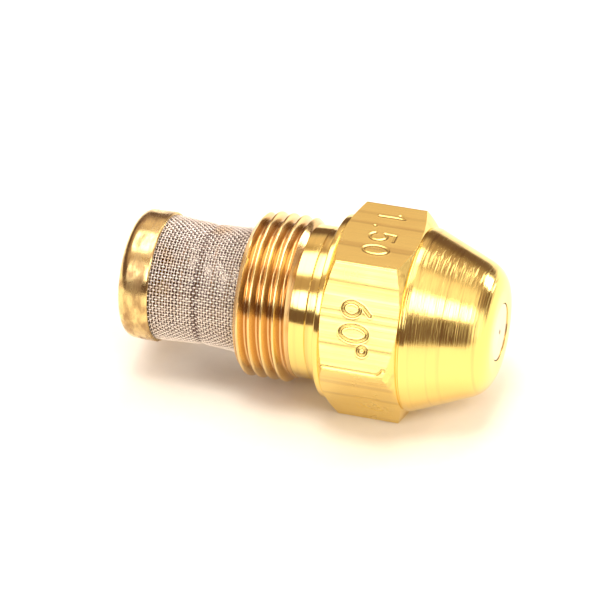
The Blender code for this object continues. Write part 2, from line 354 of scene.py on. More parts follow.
class Graph:
    """Adds nodes to a node tree and joins them."""

    def __init__(self, tree: bpy.types.NodeTree) -> None:
        """Takes the tree to add to."""
        self.tree = tree

    @classmethod
    def of(cls, owner: bpy.types.Material | bpy.types.World) -> "Graph":
        """Empties a material's or a world's own node tree.

        Args:
            owner: the material or the world.

        Returns:
            A graph on its tree.
        """
        owner.use_nodes = True
        owner.node_tree.nodes.clear()
        return cls(owner.node_tree)

    def add(self, kind: str, inputs: dict | None = None, **settings: object) -> bpy.types.Node:
        """Adds a node.

        Args:
            kind: the node's type name, without its leading "ShaderNode".
            inputs: a value or a socket for each named input.
            settings: the node's own settings.

        Returns:
            The new node.
        """
        node = self.tree.nodes.new("ShaderNode" + kind)
        for key, value in settings.items():
            setattr(node, key, value)
        for key, value in (inputs or {}).items():
            if isinstance(value, bpy.types.NodeSocket):
                self.tree.links.new(value, node.inputs[key])
            else:
                node.inputs[key].default_value = value
        return node

    def number(self, operation: str, *values: object) -> bpy.types.NodeSocket:
        """A Math node's result.

        Args:
            operation: the Math operation.
            values: numbers or sockets, in the node's order.

        Returns:
            Its output socket.
        """
        return self.add("Math", dict(enumerate(values)), operation=operation).outputs[0]

    def vector(self, operation: str, *values: object) -> bpy.types.NodeSocket:
        """A Vector Math node's vector.

        Args:
            operation: the Vector Math operation.
            values: vectors or sockets, in the node's order.

        Returns:
            Its vector socket.
        """
        return self.add("VectorMath", dict(enumerate(values)), operation=operation).outputs[0]

    def remap(self, value: bpy.types.NodeSocket, low: float, high: float) -> bpy.types.NodeSocket:
        """A smooth step from 0 to 1.

        Args:
            value: the socket to read.
            low: the value that gives 0.
            high: the value that gives 1.

        Returns:
            The result's socket.
        """
        inputs = {"Value": value, "From Min": low, "From Max": high}
        node = self.add("MapRange", inputs, interpolation_type="SMOOTHSTEP")
        return node.outputs["Result"]

    def blend(
        self, share: object, first: object, second: object, mode: str = "MIX"
    ) -> bpy.types.NodeSocket:
        """A mix of two colours.

        Args:
            share: how much of the second, from 0 to 1.
            first: a colour or a colour socket.
            second: a colour or a colour socket.
            mode: the Mix node's blend type.

        Returns:
            The mixed colour's socket.
        """
        inputs = {0: share, 6: first, 7: second}
        return self.add("Mix", inputs, data_type="RGBA", blend_type=mode).outputs[2]


class Effects:
    """The shader node groups that several materials share. Each puts out only masks and values."""

    def __init__(self) -> None:
        """Builds the three groups."""
        self.marks = self._marks()
        self.tarnish = self._tarnish()
        self.handling = self._handling()

    @staticmethod
    def _group(
        name: str, inputs: dict[str, object], outputs: Sequence[str]
    ) -> tuple[bpy.types.NodeTree, Graph, bpy.types.Node]:
        """Starts a group.

        Args:
            name: the group's name.
            inputs: the default of each input, a number or a vector.
            outputs: the names of its outputs, which are all plain values.

        Returns:
            The group, a graph on it and its input node.
        """
        tree = bpy.data.node_groups.new(name, "ShaderNodeTree")
        for label, default in inputs.items():
            kind = "NodeSocketFloat" if isinstance(default, (int, float)) else "NodeSocketVector"
            tree.interface.new_socket(label, in_out="INPUT", socket_type=kind).default_value = default
        for label in outputs:
            tree.interface.new_socket(label, in_out="OUTPUT", socket_type="NodeSocketFloat")
        return tree, Graph(tree), tree.nodes.new("NodeGroupInput")

    @staticmethod
    def _end(tree: bpy.types.NodeTree, results: dict[str, bpy.types.NodeSocket]) -> bpy.types.NodeTree:
        """Joins a group's results to its outputs and gives the group back.

        Args:
            tree: the group.
            results: a socket for each of its outputs.

        Returns:
            The finished group.
        """
        end = tree.nodes.new("NodeGroupOutput")
        for label, socket in results.items():
            tree.links.new(socket, end.inputs[label])
        return tree

    def _marks(self) -> bpy.types.NodeTree:
        """Fine cutting marks: noise that lies close across the cut, with a few deeper lines.

        Returns:
            The group, which puts out the marks' height and where the deeper lines are.
        """
        defaults = {"Position": (0, 0, 0), "Closeness": (1, 1, 1), "Deep Lines": 0.3, "Line Scale": 0.22}
        tree, graph, start = self._group("cutting_marks", defaults, ("Height", "Lines"))
        spread = graph.vector("MULTIPLY", start.outputs["Position"], start.outputs["Closeness"])
        fine = graph.add("TexNoise", {"Vector": spread, "Scale": 1.0, "Detail": 3.0, "Roughness": 0.6})
        line_scale = start.outputs["Line Scale"]
        broad = graph.add("TexNoise", {"Vector": spread, "Scale": line_scale, "Detail": 1.0})
        lines = graph.remap(broad.outputs["Fac"], 0.56, 0.72)
        deep = graph.number("MULTIPLY", lines, start.outputs["Deep Lines"])
        height = graph.number("SUBTRACT", fine.outputs["Fac"], deep)
        return self._end(tree, {"Height": height, "Lines": lines})

    def _tarnish(self) -> bpy.types.NodeTree:
        """Patches of tarnish with soft, speckled borders.

        Returns:
            The group, which puts out how tarnished each place is.
        """
        defaults = {"Position": (0, 0, 0), "Amount": 0.5, "Softness": 0.1}
        tree, graph, start = self._group("tarnish_patches", defaults, ("Mask",))
        patches = graph.add(
            "TexNoise",
            {"Vector": start.outputs["Position"], "Detail": 4.0, "Roughness": 0.62, "Distortion": 0.15},
        )
        patches.inputs["Scale"].default_value = 1.0
        low = graph.number("SUBTRACT", 1.0, start.outputs["Amount"])
        above = graph.number("SUBTRACT", patches.outputs["Fac"], low)
        share = graph.number("DIVIDE", above, start.outputs["Softness"])
        return self._end(tree, {"Mask": graph.remap(share, 0.0, 1.0)})

    def _handling(self) -> bpy.types.NodeTree:
        """A roughness that wanders between two values, as handled metal's does.

        Returns:
            The group, which puts out the roughness.
        """
        defaults = {"Position": (0, 0, 0), "Scale": 0.4, "Least": 0.15, "Most": 0.3}
        tree, graph, start = self._group("handling_smudges", defaults, ("Roughness",))
        position, scale = start.outputs["Position"], start.outputs["Scale"]
        smudge = graph.add("TexNoise", {"Vector": position, "Scale": scale, "Detail": 5.0})
        share = graph.remap(smudge.outputs["Fac"], 0.3, 0.7)
        span = graph.number("SUBTRACT", start.outputs["Most"], start.outputs["Least"])
        rough = graph.number("MULTIPLY_ADD", share, span, start.outputs["Least"])
        return self._end(tree, {"Roughness": rough})


class Cut(Enum):
    """Which way a surface was cut, as how closely its marks lie along X, Y and Z, to the millimetre."""

    TURNED = (9.0, 0.10, 0.10)
    MILLED = (0.02, 1.6, 1.6)
    DRAWN = (0.6, 2.5, 2.5)


# Painted shade between the wires of a cloth, deepest where a wire lies low in the cloth, and the heights
# between which it clears away.
GAP_SHADE: Colour = (0.26, 0.165, 0.14)
GAP_SHADE_CLEARS: Reach = (-0.15, 0.75)
# How far a deep line takes the colour to the dull one, and how much rougher full tarnish is.
LINE_DULLING = 0.4
TARNISH_ROUGHNESS = 0.18


@dataclass(frozen=True)
class Finish:
    """A metal's finish, and how it is made into a material.

    colour and dull are its clean and tarnished colours, least and most its range of roughness, and depth
    the height of its cutting marks in millimetres. deep_lines and line_scale say how deep and how close
    the deeper marks are. tarnish is how much of it is tarnished, in patches as close as patch_scale and
    as soft as softness. root_shade holds the radii between which painted shade darkens a thread, from
    the dull colour at its roots to the clean one at its crests. gap_shade_attribute names the attribute
    that says how far a wire stands out of its cloth, and the lower a wire lies the more shade is painted
    on it.
    Without them there is neither.
    """

    name: str
    colour: Colour
    dull: Colour
    cut: Cut
    least: float
    most: float
    depth: float
    tarnish: float = 0.0
    patch_scale: tuple[float, float, float] = (0.5, 0.5, 0.5)
    deep_lines: float = 0.3
    line_scale: float = 0.22
    # Names the attribute that drives the painted shade between a cloth's wires.
    gap_shade_attribute: str = ""
    softness: float = 0.12
    # Radii over which painted shade darkens a thread towards its roots, leaving its crests bright.
    root_shade: Reach = (0.0, 0.0)

    def material(self, effects: Effects) -> bpy.types.Material:
        """Builds the material.

        Args:
            effects: the shared node groups.

        Returns:
            The material, with its marks, tarnish and smudges, and any painted shade in a thread's roots
            or between a cloth's wires.
        """
        material = bpy.data.materials.new(self.name)
        graph = Graph.of(material)
        coordinates = graph.add("TexCoord")
        millimetres = graph.vector("MULTIPLY", coordinates.outputs["Object"], (1 / MM,) * 3)
        marks = self._effect(
            graph, effects.marks, Position=millimetres, Closeness=self.cut.value,
            Deep_Lines=self.deep_lines, Line_Scale=self.line_scale,
        )
        spread = graph.vector("MULTIPLY", millimetres, self.patch_scale)
        patches = self._effect(
            graph, effects.tarnish, Position=spread, Amount=self.tarnish, Softness=self.softness
        )
        smudges = self._effect(
            graph, effects.handling, Position=millimetres, Least=self.least, Most=self.most
        )
        dull = (*self.dull, 1)
        dulling = graph.number("MULTIPLY", marks["Lines"], LINE_DULLING)
        worn = graph.blend(dulling, (*self.colour, 1), dull)
        colour = graph.blend(patches["Mask"], worn, dull)
        # Painted shade: the thread darkens towards its roots and keeps its clean colour only at its
        # crests.
        if self.root_shade[1]:
            outward = graph.vector("ADD", millimetres, (0, 0, -AXIS_HEIGHT))
            across = graph.vector("MULTIPLY", outward, (0, 1, 1))
            radius = graph.add("VectorMath", {0: across}, operation="LENGTH").outputs["Value"]
            colour = graph.blend(graph.remap(radius, *self.root_shade), dull, colour)
        # Painted shade between a cloth's wires: the lower a wire lies in the cloth, and in its crease,
        # the darker it is painted.
        if self.gap_shade_attribute:
            height = graph.add("Attribute", attribute_name=self.gap_shade_attribute).outputs["Fac"]
            colour = graph.blend(graph.remap(height, *GAP_SHADE_CLEARS), (*GAP_SHADE, 1), colour)
        rough = graph.number("MULTIPLY_ADD", patches["Mask"], TARNISH_ROUGHNESS, smudges["Roughness"])
        bump = graph.add("Bump", {"Distance": self.depth * MM, "Height": marks["Height"]})
        bump.inputs["Strength"].default_value = 1.0
        shader = graph.add(
            "BsdfPrincipled",
            {"Base Color": colour, "Roughness": rough, "Normal": bump.outputs["Normal"]},
        )
        shader.inputs["Metallic"].default_value = 1.0
        graph.add("OutputMaterial", {"Surface": shader.outputs["BSDF"]})
        return material

    @staticmethod
    def _effect(
        graph: Graph, group: bpy.types.NodeTree, **inputs: object
    ) -> bpy.types.bpy_prop_collection:
        """Places a shared effect in the material.

        Args:
            graph: the material's graph.
            group: the effect's node group.
            inputs: a value or a socket for each of its inputs, with _ for a space in a name.

        Returns:
            The effect's outputs.
        """
        node = graph.add("Group", node_tree=group)
        for label, value in inputs.items():
            socket = node.inputs[label.replace("_", " ")]
            if isinstance(value, bpy.types.NodeSocket):
                graph.tree.links.new(value, socket)
            else:
                socket.default_value = value
        return node.outputs


BRASS: Colour = (0.89, 0.68, 0.22)
BRASS_DULL: Colour = (0.56, 0.36, 0.12)
FINE_BRASS = Finish("fine_turned_brass", BRASS, BRASS_DULL, Cut.TURNED, 0.10, 0.16, 0.008)
TURNED_BRASS = Finish("turned_brass", BRASS, BRASS_DULL, Cut.TURNED, 0.12, 0.20, 0.030)
MILLED_BRASS = Finish(
    "milled_brass", BRASS, BRASS_DULL, Cut.MILLED, 0.23, 0.28, 0.010, deep_lines=1.0, line_scale=0.5
)
# The thread's finish paints shade towards its roots.
THREAD_BRASS = Finish(
    "thread_brass", (0.88, 0.66, 0.30), (0.66, 0.42, 0.18), Cut.TURNED, 0.16, 0.26, 0.010,
    root_shade=(6.55, 7.14),
)
SCREW_BRASS = Finish(
    "screw_brass", (0.80, 0.58, 0.24), (0.4, 0.26, 0.1), Cut.TURNED, 0.22, 0.36, 0.012, 0.42
)
CAP_BRASS = Finish(
    "cap_brass", (0.86, 0.66, 0.28), (0.38, 0.23, 0.10), Cut.DRAWN, 0.13, 0.24, 0.008, 0.65,
    (1.3, 0.5, 0.5), softness=0.35,
)
STAINLESS = Finish("stainless", (0.66, 0.65, 0.63), (0.45, 0.43, 0.41), Cut.TURNED, 0.14, 0.24, 0.006)
# The cloth's wires carry painted shade between them, read from their height attribute.
CLOTH_WIRE = Finish(
    "cloth_wire", (0.97, 0.89, 0.80), (0.88, 0.70, 0.50), Cut.DRAWN, 0.32, 0.42, 0.001, 0.45,
    (0.25, 0.25, 0.25), softness=0.25, gap_shade_attribute="height",
)
TIP_STAINLESS = Finish(
    "tip_stainless", (0.74, 0.66, 0.50), (0.5, 0.44, 0.36), Cut.TURNED, 0.14, 0.2, 0.003
)
BRONZE_WIRE = Finish(
    "bronze_wire", (0.62, 0.40, 0.24), (0.32, 0.19, 0.1), Cut.DRAWN, 0.30, 0.42, 0.004, 0.42
)


# ---------------------------------------------------------------- stamped numerals


@dataclass(frozen=True)
class Stamp:
    """A plain rating numeral stamped into one flat of the hexagon, reading across it.

    stroke is half of a groove's width, and the lip's place and width are shares of it.
    """

    text: str
    flat: int
    height: float
    advance: float
    shift: Point = (0.0, 0.0)
    depth: float = 0.05
    stroke: float = 0.11
    proportion: float = 0.56
    narrow: float = 0.55
    sharpness: float = 1.6
    lip: float = 0.14
    lip_place: float = 1.9
    lip_width: float = 0.5

    def strokes(self) -> list[np.ndarray]:
        """The text's strokes as (across, up) points, with its middle at the flat's middle.

        Returns:
            The points of each stroke in turn.
        """
        found = []
        width = self.height * self.proportion
        pen = -sum(self._advance(character) for character in self.text) / 2
        for character in self.text:
            step = self._advance(character)
            corner = (pen + step / 2 - width / 2, -self.height / 2)
            for stroke in self._glyph(character):
                points = np.array(stroke, float) * (width, self.height)
                found.append(points + corner + np.array(self.shift))
            pen += step
        return found

    def _advance(self, character: str) -> float:
        """How far the pen moves on after a character."""
        return self.advance * (self.narrow if character in ".o" else 1.0)

    @staticmethod
    def _arc(cx: float, cy: float, rx: float, ry: float, start: float, end: float) -> list[Point]:
        """Points on an oval's arc, with its angles in degrees."""
        angles = np.radians(np.linspace(start, end, 25))
        return [(cx + rx * math.cos(a), cy + ry * math.sin(a)) for a in angles]

    def _glyph(self, character: str) -> list[list[Point]]:
        """One character's strokes in a unit box, where "o" stands for a degree ring.

        Args:
            character: the character to draw.

        Returns:
            The (across, up) points of each stroke.
        """
        arc = self._arc
        return {
            "0": [arc(0.5, 0.5, 0.5, 0.5, 0, 360)],
            "1": [[(0.22, 0.78), (0.55, 1.0), (0.55, 0.0)]],
            "2": [arc(0.5, 0.72, 0.46, 0.28, 165, -40) + [(0.05, 0.0), (0.98, 0.0)]],
            "5": [[(0.9, 1.0), (0.16, 1.0), (0.1, 0.56)] + arc(0.48, 0.34, 0.46, 0.34, 125, -150)],
            "6": [[(0.78, 1.0), (0.3, 0.72)] + arc(0.5, 0.32, 0.45, 0.32, 160, 520)],
            ".": [[(0.5, 0.0), (0.5, 0.03)]],
            "o": [arc(0.35, 0.88, 0.26, 0.15, 0, 360)],
        }[character]

    def relief(self, across: np.ndarray, up: np.ndarray) -> np.ndarray:
        """How far each place on the flat is pressed in, with a small lip beside each stroke.

        Args:
            across: places along the reading direction.
            up: places along the characters' upright direction.

        Returns:
            The height of each place, below zero where it is pressed in.
        """
        places = np.stack([across, up], axis=-1)
        nearest = np.full(across.shape, np.inf)
        for stroke in self.strokes():
            for start, end in zip(stroke, stroke[1:]):
                along = end - start
                share = ((places - start) @ along / max(along @ along, 1e-9)).clip(0, 1)
                away = places - start - share[..., None] * along
                nearest = np.minimum(nearest, np.hypot(away[..., 0], away[..., 1]))
        groove = np.exp(-((nearest / self.stroke) ** 2) * self.sharpness)
        lip_middle = self.lip_place * self.stroke
        lip = np.exp(-(((nearest - lip_middle) / (self.lip_width * self.stroke)) ** 2))
        return -self.depth * groove + self.lip * self.depth * lip


# ---------------------------------------------------------------- body and tip


@dataclass
class NozzleBody:
    """The turned and milled brass body with its stamped flats and its external thread."""

    hexagon_length: float = 6.70
    chamfer_angle: float = 30.0
    flat_clear: float = 0.04
    corner_bevel: float = 0.12
    crest_half: float = 0.0625
    root_half: float = 0.0835
    crest_rounding: float = 0.03
    root_rounding: float = 0.10
    cell: float = 0.055
    plain_columns: int = 12
    corner_steps: int = 5
    relief_fade: float = 20.0
    burred_flat: int = 1
    collar_length: float = 0.53
    neck_length: float = 2.47
    neck_radius: float = 6.60
    scribe_place: float = 1.05
    scribe_depth: float = 0.05
    scribe_half: float = 0.07
    thread_radius: float = 9 / 32 * INCH
    thread_pitch: float = INCH / 24
    thread_length: float = 4.90
    lead_radius: float = 6.62
    lead_slope: float = 0.8
    thread_relief: float = 0.10
    rear_rim: float = 0.25
    end_pitches: int = 2
    groove_width: float = 0.16
    groove_depth: float = 0.16
    nose_land: float = 0.62
    nose_step: float = 0.25
    nose_half_angle: float = 22.4
    nose_rounding: float = 2.60
    tip_radius: float = 2.44
    tip_gap: float = 0.05
    tip_land: float = 1.90
    cavity_radius: float = 3.50
    cavity_depth: float = 6.60
    screw_bore: float = 5 / 32 * INCH + 0.05
    strainer_bore: float = 5.60
    strainer_bore_depth: float = 5.75
    segments: int = 360
    stamps: tuple[Stamp, ...] = (
        Stamp("1.50", 0, 2.15, 1.95, (-0.3, 0.1)),
        Stamp("60o", 1, 2.35, 2.0, (0.75, -0.3)),
        Stamp("12", 2, 2.1, 1.8, (0.9, 0.6), 0.035, 0.12),
    )

    @property
    def hexagon_front(self) -> float:
        """Where the hexagon ends towards the nose."""
        return self.hexagon_length / 2

    @property
    def round_radius(self) -> float:
        """The radius of the round parts next to the hexagon."""
        return AXIS_HEIGHT - self.flat_clear

    @property
    def flat_half(self) -> float:
        """Half of the width of a flat, between its rounded corners."""
        return AXIS_HEIGHT * math.tan(math.pi / 6) - self.corner_bevel

    @property
    def stations(self) -> np.ndarray:
        """The rows along the hexagon, from -1 at its rear to 1 at its front."""
        return np.linspace(-1, 1, math.ceil(self.hexagon_length / self.cell) + 1)

    @property
    def neck_rear(self) -> float:
        """Where the neck meets the thread."""
        return -self.hexagon_front - self.collar_length - self.neck_length

    def front_outline(self) -> list[Point]:
        """From the groove at the hexagon's front, round the nose and back through the bores.

        Returns:
            The outline's (x, radius) points, down to the rear face.
        """
        front, wide = self.hexagon_front, self.round_radius
        groove = wide - self.groove_depth
        base = front + self.nose_land
        slope = math.tan(math.radians(self.nose_half_angle))
        base_radius = wide - (self.nose_land - self.nose_step) * slope
        edge = base_radius - (BODY.front - base) * slope
        hole = self.tip_radius + self.tip_gap
        shoulder = BODY.front - self.tip_land
        cavity_rear = shoulder - self.cavity_depth + self.tip_land
        step = BODY.rear + self.strainer_bore_depth
        return soften(
            [
                (front, wide, 0),
                (front + 0.03, groove, 0.03),
                (front + self.groove_width, groove, 0.05),
                (front + self.groove_width + 0.06, wide - 0.02, 0.05),
                (base, base_radius + 0.05, 0.5),
                (BODY.front, edge, self.nose_rounding),
                (BODY.front, hole, 0.02),
                (shoulder, hole, 0),
                (shoulder, self.cavity_radius, 0.1),
                (cavity_rear, self.cavity_radius, 0.1),
                (cavity_rear, self.screw_bore, 0.05),
                (step, self.screw_bore, 0.1),
                (step, self.strainer_bore, 0.1),
                (BODY.rear, self.strainer_bore, 0.08),
                (BODY.rear, self.lead_radius - self.rear_rim, 0),
            ],
            steps=8,
        )

    def rear_outline(self) -> list[Point]:
        """From the thread's front end, along the neck and over the collar to the hexagon.

        Returns:
            The outline's (x, radius) points.
        """
        neck_front = self.neck_rear + self.neck_length
        scribe = neck_front - self.scribe_place
        hexagon_rear, wide = -self.hexagon_front, self.round_radius
        return soften(
            [
                (self.neck_rear, self.neck_radius - self.thread_relief, 0),
                (self.neck_rear, self.neck_radius, 0.03),
                (scribe - self.scribe_half, self.neck_radius, 0.02),
                (scribe, self.neck_radius - self.scribe_depth, 0.02),
                (scribe + self.scribe_half, self.neck_radius, 0.02),
                (neck_front, self.neck_radius, 0.22),
                (neck_front, wide, 0.12),
                (hexagon_rear - 0.06, wide, 0.05),
                (hexagon_rear - 0.03, wide - 0.05, 0.01),
                (hexagon_rear, wide, 0),
            ],
            steps=5,
        )

    def thread_grid(self) -> np.ndarray:
        """The thread's skin, its rows following the helix and stopping at the two ends.

        Returns:
            A grid of points, whose last column repeats the first one a pitch further on.
        """
        pitch = self.thread_pitch
        depth = THREAD_DEPTH * pitch
        crest, root = self.crest_half * pitch, (0.5 - self.root_half) * pitch
        flank = [(crest + share * (root - crest), share * depth, 0.0) for share in (0.2, 0.75)]
        flank = [(crest, 0.0, self.crest_rounding), *flank, (root, depth, self.root_rounding)]
        far_flank = [(pitch - x, below, rounding) for x, below, rounding in reversed(flank)]
        shape = soften([(0.0, 0, 0), *flank, *far_flank, (pitch, 0, 0)], steps=2)
        along, below = np.array(shape[:-1]).T
        turns = math.ceil(self.thread_length / pitch) + self.end_pitches
        stations = (np.arange(-1, turns)[:, None] * pitch + along).ravel()
        column = np.arange(self.segments + 1)
        x = BODY.rear + stations[:, None] + pitch * column / self.segments
        x = x.clip(BODY.rear, self.neck_rear)
        phase = (x - BODY.rear - pitch * column / self.segments) % pitch
        radius = self.thread_radius - np.interp(phase, np.append(along, pitch), np.append(below, 0))
        rear_lead = self.lead_radius + (x - BODY.rear)
        front_lead = self.neck_radius + (self.neck_rear - x) * self.lead_slope
        radius = np.minimum(np.minimum(radius, rear_lead), front_lead)
        return round_axis(x, radius, TAU * column / self.segments)

    def hexagon(self) -> np.ndarray:
        """The hexagon's skin, with its rounded corners, turned chamfers and stamped flats.

        Returns:
            A grid of points, its rows from the rear to the front.
        """
        columns = []
        for flat in range(6):
            angle = math.pi / 2 + flat * math.pi / 3
            outward = np.array((math.cos(angle), math.sin(angle)))
            across = np.array((-math.sin(angle), math.cos(angle)))
            columns += [self._flat(flat, outward, across), self._corner(outward, across)]
        return np.concatenate(columns, axis=1)

    def _flat(self, flat: int, outward: np.ndarray, across: np.ndarray) -> np.ndarray:
        """One flat of the hexagon, with its stamps and its burr pressed in.

        Args:
            flat: its number, counted from the top one.
            outward: the Y and Z of the direction it faces.
            across: the Y and Z of the direction along its width.

        Returns:
            A grid of points, its rows from the rear to the front.
        """
        stamps = [stamp for stamp in self.stamps if stamp.flat == flat]
        count = math.ceil(2 * self.flat_half / self.cell) if stamps else self.plain_columns
        sideways = np.linspace(-self.flat_half, self.flat_half, count + 1)
        base = outward * AXIS_HEIGHT + sideways[:, None] * across
        x = self._along(base)
        spots = np.broadcast_to(sideways, x.shape)
        relief = sum((stamp.relief(spots, x) for stamp in stamps), np.zeros_like(x))
        if flat == self.burred_flat:
            relief += self.burr(spots - self.flat_half, x)
        relief *= np.clip((1 - abs(self.stations[:, None])) * self.relief_fade, 0, 1)
        return self._with_chamfers(x, base + relief[..., None] * outward)

    def _corner(self, outward: np.ndarray, across: np.ndarray) -> np.ndarray:
        """The rounded corner after a flat.

        Args:
            outward: the Y and Z of the direction that the flat faces.
            across: the Y and Z of the direction along its width.

        Returns:
            A grid of points, its rows from the rear to the front.
        """
        rounding = self.corner_bevel / math.tan(math.pi / 6)
        bends = np.linspace(0, math.pi / 3, self.corner_steps + 1)[1:-1]
        hub = outward * (AXIS_HEIGHT - rounding) + across * self.flat_half
        arc = hub + rounding * (np.cos(bends)[:, None] * outward + np.sin(bends)[:, None] * across)
        x = self._along(arc)
        return self._with_chamfers(x, np.broadcast_to(arc, (*x.shape, 2)))

    def _along(self, columns: np.ndarray) -> np.ndarray:
        """Places along the axis down each column of the hexagon's skin, out to the chamfers.

        Args:
            columns: each column's Y and Z.

        Returns:
            The places, one row for each station.
        """
        slope = math.tan(math.radians(self.chamfer_angle))
        reach = self.hexagon_front - (np.hypot(*columns.T) - self.round_radius) * slope
        return self.stations[:, None] * reach

    def burr(self, across: np.ndarray, x: np.ndarray) -> np.ndarray:
        """The line that milling left along a flat's lower edge, which hooks up at the nose end.

        Args:
            across: places across the flat, from that edge.
            x: places along the axis.

        Returns:
            The relief at each place.
        """
        inset, half_width, depth, front = 0.14, 0.07, 0.085, 2.75
        hook = 0.45 * np.clip((x - 1.9) / 0.6, 0, 1) ** 2
        away = across + inset + hook
        return np.where(x > front, 0.0, -depth * np.exp(-((away / half_width) ** 2)))

    def _with_chamfers(self, x: np.ndarray, skin: np.ndarray) -> np.ndarray:
        """Adds the chamfers' outer circles to a stretch of the hexagon's skin.

        Args:
            x: each point's place along the axis.
            skin: each point's Y and Z.

        Returns:
            The points with one more row at each end.
        """
        points = np.concatenate([x[..., None], skin], axis=-1)
        ends = []
        for row, end in ((0, -self.hexagon_front), (-1, self.hexagon_front)):
            ring = skin[row] * self.round_radius / np.hypot(*skin[row].T)[:, None]
            ends.append(np.column_stack([np.full(len(ring), end), ring]))
        return np.concatenate([ends[0][None], points, ends[1][None]])

    def build(self, effects: Effects) -> None:
        """Args:
            effects: the shared node groups.
        """
        skin = Skin()
        skin.add(turn(self.front_outline(), self.segments))
        skin.add(turn(self.rear_outline(), self.segments), finish=1)
        thread = self.thread_grid()
        skin.add(thread, (False, False), finish=2)
        rear_ring = thread[0, :-1]
        inner_ring = turn([(BODY.rear, self.lead_radius - self.rear_rim)], self.segments)[0]
        skin.add(np.stack([rear_ring, inner_ring]), finish=2)
        front_ring = thread[-1, :-1]
        shoulder = turn([(self.neck_rear, self.neck_radius - self.thread_relief)], self.segments)[0]
        skin.add(np.stack([front_ring, shoulder]), finish=2)
        mesh = skin.mesh("nozzle_body_fine")
        weld(mesh)
        finishes = [finish.material(effects) for finish in (TURNED_BRASS, FINE_BRASS, THREAD_BRASS)]
        settle(place(mesh, finishes), "nozzle", "nozzle_body")
        hexagon = solid("nozzle_hexagon_fine", self.hexagon(), MILLED_BRASS, effects)
        settle(hexagon, "nozzle", "nozzle_body")


@dataclass
class OrificeTip:
    """The stainless disc whose tip shows in the nose."""

    tip_radius: float = 2.41
    tip_land: float = 1.90
    seat_radius: float = 2.73
    chamber_radius: float = 0.80
    orifice: float = 0.20
    segments: int = 144

    def build(self, effects: Effects) -> None:
        """Args:
            effects: the shared node groups.
        """
        span = Span.of("orifice_disc")
        shoulder = span.front - self.tip_land
        seat_front = span.rear + self.seat_radius - self.chamber_radius
        outline = soften(
            [
                (seat_front, self.chamber_radius, 0),
                (span.rear, self.seat_radius, 0.05),
                (span.rear, span.radius, 0.12),
                (shoulder, span.radius, 0.12),
                (shoulder, self.tip_radius, 0.02),
                (span.front, self.tip_radius, 0.02),
                (span.front, self.orifice, 0.02),
                (span.front - 3 * self.orifice, self.orifice, 0),
                (seat_front, self.chamber_radius, 0),
            ],
            steps=4,
        )
        tip = solid("orifice_tip", turn(outline, self.segments), TIP_STAINLESS, effects)
        settle(tip, "nozzle", "orifice_disc")


# ---------------------------------------------------------------- swirl set


